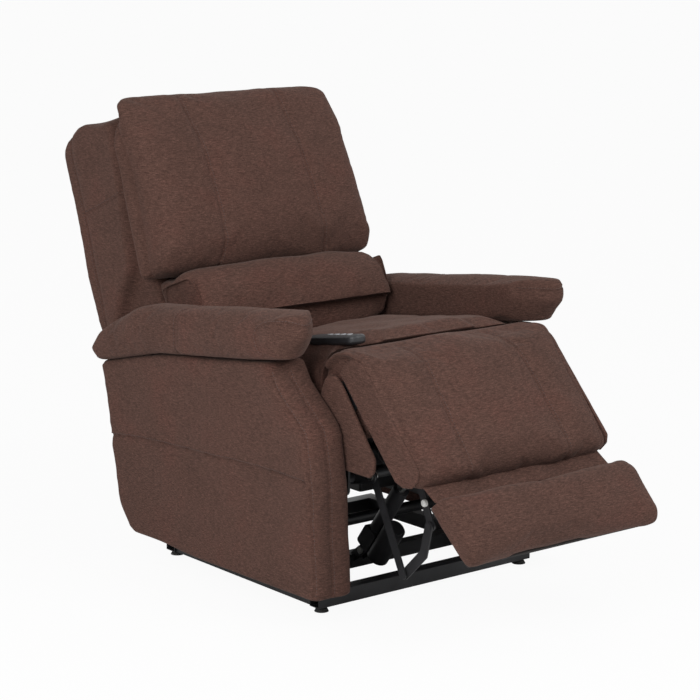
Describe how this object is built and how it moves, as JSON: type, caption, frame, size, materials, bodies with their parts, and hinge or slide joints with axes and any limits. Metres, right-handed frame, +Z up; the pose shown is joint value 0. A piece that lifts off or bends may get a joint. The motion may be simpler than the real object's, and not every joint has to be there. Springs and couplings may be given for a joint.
{
  "type": "lift recliner chair",
  "caption": "Upholstered power lift recliner with padded arms, pillow back, chaise footrest with extension flap, handset and a tilting lift base.",
  "frame": {"origin": "on the floor under the middle of the chair's overall box, with the footrest and back as pictured", "axes": "+Z up, +Y towards the back of the chair, the sitter faces -Y, +X to the sitter's left"},
  "size_m": [0.882, 1.5536, 1.1226],
  "materials": {
    "upholstery": "chocolate brown chenille",
    "black_steel": "black satin powder coat",
    "zinc_steel": "zinc plated",
    "black_plastic": "fine textured",
    "button_plastic": "satin grey",
    "foot_rubber": "matt black",
    "board": "fabric covered board"
  },
  "bodies": {
    "base": {"base_front_tube": "black_steel", "base_middle_tube": "black_steel", "base_rear_tube": "black_steel", "base_rail_left": "black_steel", "base_rail_right": "black_steel", "lift_bracket_left": "black_steel", "lift_bracket_right": "black_steel", "levelling_feet": "foot_rubber", "base_pivot_pins": "zinc_steel"},
    "lift_arms": {"lift_arm_left": "black_steel", "lift_arm_right": "black_steel", "lift_torque_tube": "black_steel"},
    "guide_links": {"guide_link_left": "black_steel", "guide_link_right": "black_steel"},
    "seat_frame": {"seat_side_plate_left": "black_steel", "seat_side_plate_right": "black_steel", "knee_hanger_left": "black_steel", "knee_hanger_right": "black_steel", "seat_frame_pins": "zinc_steel", "seat_front_tube": "black_steel", "seat_rear_tube": "black_steel", "seat_deck": "black_steel", "seat_cushion": "upholstery", "seat_cheek_left": "upholstery", "seat_cheek_right": "upholstery", "arm_panel_left": "upholstery", "arm_panel_right": "upholstery", "arm_pad_left": "upholstery", "arm_pad_right": "upholstery", "control_box": "black_plastic"},
    "back": {"back_shell": "upholstery", "back_hinge_plate_left": "black_steel", "back_hinge_plate_right": "black_steel", "back_cross_tube": "black_steel", "lumbar_cushion": "upholstery", "head_pillow": "upholstery"},
    "footrest": {"leg_pad": "upholstery", "leg_board": "board", "leg_rails": "black_steel", "leg_drive": "black_steel", "leg_rail_pins": "zinc_steel"},
    "footrest_flap": {"flap_pad": "upholstery", "flap_board": "board", "flap_rails": "black_steel"},
    "front_links": {"front_links": "black_steel"},
    "dog_links": {"dog_links": "black_steel"},
    "lift_motor": {"lift_motor": "black_plastic"},
    "lift_rod": {"lift_rod": "zinc_steel"},
    "leg_motor": {"leg_motor": "black_plastic"},
    "leg_rod": {"leg_rod": "zinc_steel"},
    "back_motor": {"back_motor": "black_plastic"},
    "back_rod": {"back_rod": "zinc_steel"},
    "handset": {"handset": "black_plastic"},
    "button_1": {"handset_button_1": "button_plastic"},
    "button_2": {"handset_button_2": "button_plastic"},
    "button_3": {"handset_button_3": "button_plastic"},
    "button_4": {"handset_button_4": "button_plastic"}
  },
  "joints": [
    {"name": "lift", "type": "hinge", "parent": "base", "child": "lift_arms", "pos_m": [0, -0.221, 0.105], "axis": [1, 0, 0], "range_deg": [0, 50]},
    {"name": "seat_tilt", "type": "hinge", "parent": "lift_arms", "child": "seat_frame", "pos_m": [0, 0.149, 0.135], "axis": [1, 0, 0], "range_deg": [-22.44, 0]},
    {"name": "guide_swing", "type": "hinge", "parent": "base", "child": "guide_links", "pos_m": [0, -0.262, 0.132], "axis": [1, 0, 0], "range_deg": [0, 54.42]},
    {"name": "lift_motor_swing", "type": "hinge", "parent": "base", "child": "lift_motor", "pos_m": [0, -0.109, 0.062], "axis": [1, 0, 0], "range_deg": [0, 13.51]},
    {"name": "lift_rod_slide", "type": "slide", "parent": "lift_motor", "child": "lift_rod", "axis": [0, -0.5994, 0.8005], "range_m": [0, 0.1672]},
    {"name": "footrest_raise", "type": "hinge", "parent": "seat_frame", "child": "footrest", "pos_m": [0, -0.345, 0.52], "axis": [-1, 0, 0], "range_deg": [-38, 38]},
    {"name": "flap_turn", "type": "hinge", "parent": "footrest", "child": "footrest_flap", "pos_m": [0, -0.593, 0.322], "axis": [-1, 0, 0], "range_deg": [-11.07, 11.07]},
    {"name": "front_link_swing", "type": "hinge", "parent": "seat_frame", "child": "front_links", "pos_m": [0, -0.329, 0.315], "axis": [-1, 0, 0], "range_deg": [-55.5, 55.5]},
    {"name": "dog_link_swing", "type": "hinge", "parent": "front_links", "child": "dog_links", "pos_m": [0, -0.436, 0.105], "axis": [-1, 0, 0], "range_deg": [-58.2, 58.2]},
    {"name": "leg_motor_swing", "type": "hinge", "parent": "seat_frame", "child": "leg_motor", "pos_m": [0, 0.069, 0.29], "axis": [-1, 0, 0], "range_deg": [-0.2967, 0.2967]},
    {"name": "leg_rod_slide", "type": "slide", "parent": "leg_motor", "child": "leg_rod", "axis": [0, -0.9769, 0.2137], "range_m": [-0.0872, 0.0872]},
    {"name": "back_recline", "type": "hinge", "parent": "seat_frame", "child": "back", "pos_m": [0, 0.369, 0.42], "axis": [-1, 0, 0], "range_deg": [-14, 35]},
    {"name": "back_motor_swing", "type": "hinge", "parent": "seat_frame", "child": "back_motor", "pos_m": [0, 0.119, 0.19], "axis": [-1, 0, 0], "range_deg": [-16.95, 7.06]},
    {"name": "back_rod_slide", "type": "slide", "parent": "back_motor", "child": "back_rod", "axis": [0, 0.9578, 0.2873], "range_m": [-0.0716, 0.0298]},
    {"name": "handset_lift", "type": "slide", "parent": "seat_frame", "child": "handset", "axis": [0, 0.1564, 0.9877], "range_m": [0, 0.15]},
    {"name": "button_1_press", "type": "slide", "parent": "handset", "child": "button_1", "axis": [0, -0.1564, -0.9877], "range_m": [0, 0.0012], "stiffness_N_per_m": 400, "springref_m": -0.001},
    {"name": "button_2_press", "type": "slide", "parent": "handset", "child": "button_2", "axis": [0, -0.1564, -0.9877], "range_m": [0, 0.0012], "stiffness_N_per_m": 400, "springref_m": -0.001},
    {"name": "button_3_press", "type": "slide", "parent": "handset", "child": "button_3", "axis": [0, -0.1564, -0.9877], "range_m": [0, 0.0012], "stiffness_N_per_m": 400, "springref_m": -0.001},
    {"name": "button_4_press", "type": "slide", "parent": "handset", "child": "button_4", "axis": [0, -0.1564, -0.9877], "range_m": [0, 0.0012], "stiffness_N_per_m": 400, "springref_m": -0.001}
  ],
  "couplings": [
    {"joint": "seat_tilt", "follows": "lift", "ratio": -0.44},
    {"joint": "guide_swing", "follows": "lift", "ratio": 1.067},
    {"joint": "lift_motor_swing", "follows": "lift", "ratio": 0.26488},
    {"joint": "lift_rod_slide", "follows": "lift", "m_per_rad": 0.18788},
    {"joint": "flap_turn", "follows": "footrest_raise", "ratio": 0.28},
    {"joint": "front_link_swing", "follows": "footrest_raise", "ratio": 1.4043},
    {"joint": "dog_link_swing", "follows": "footrest_raise", "ratio": -1.4728},
    {"joint": "leg_motor_swing", "follows": "footrest_raise", "ratio": -0.007507},
    {"joint": "leg_rod_slide", "follows": "footrest_raise", "m_per_rad": 0.12649},
    {"joint": "back_motor_swing", "follows": "back_recline", "ratio": -0.47099},
    {"joint": "back_rod_slide", "follows": "back_recline", "m_per_rad": -0.11406}
  ]
}
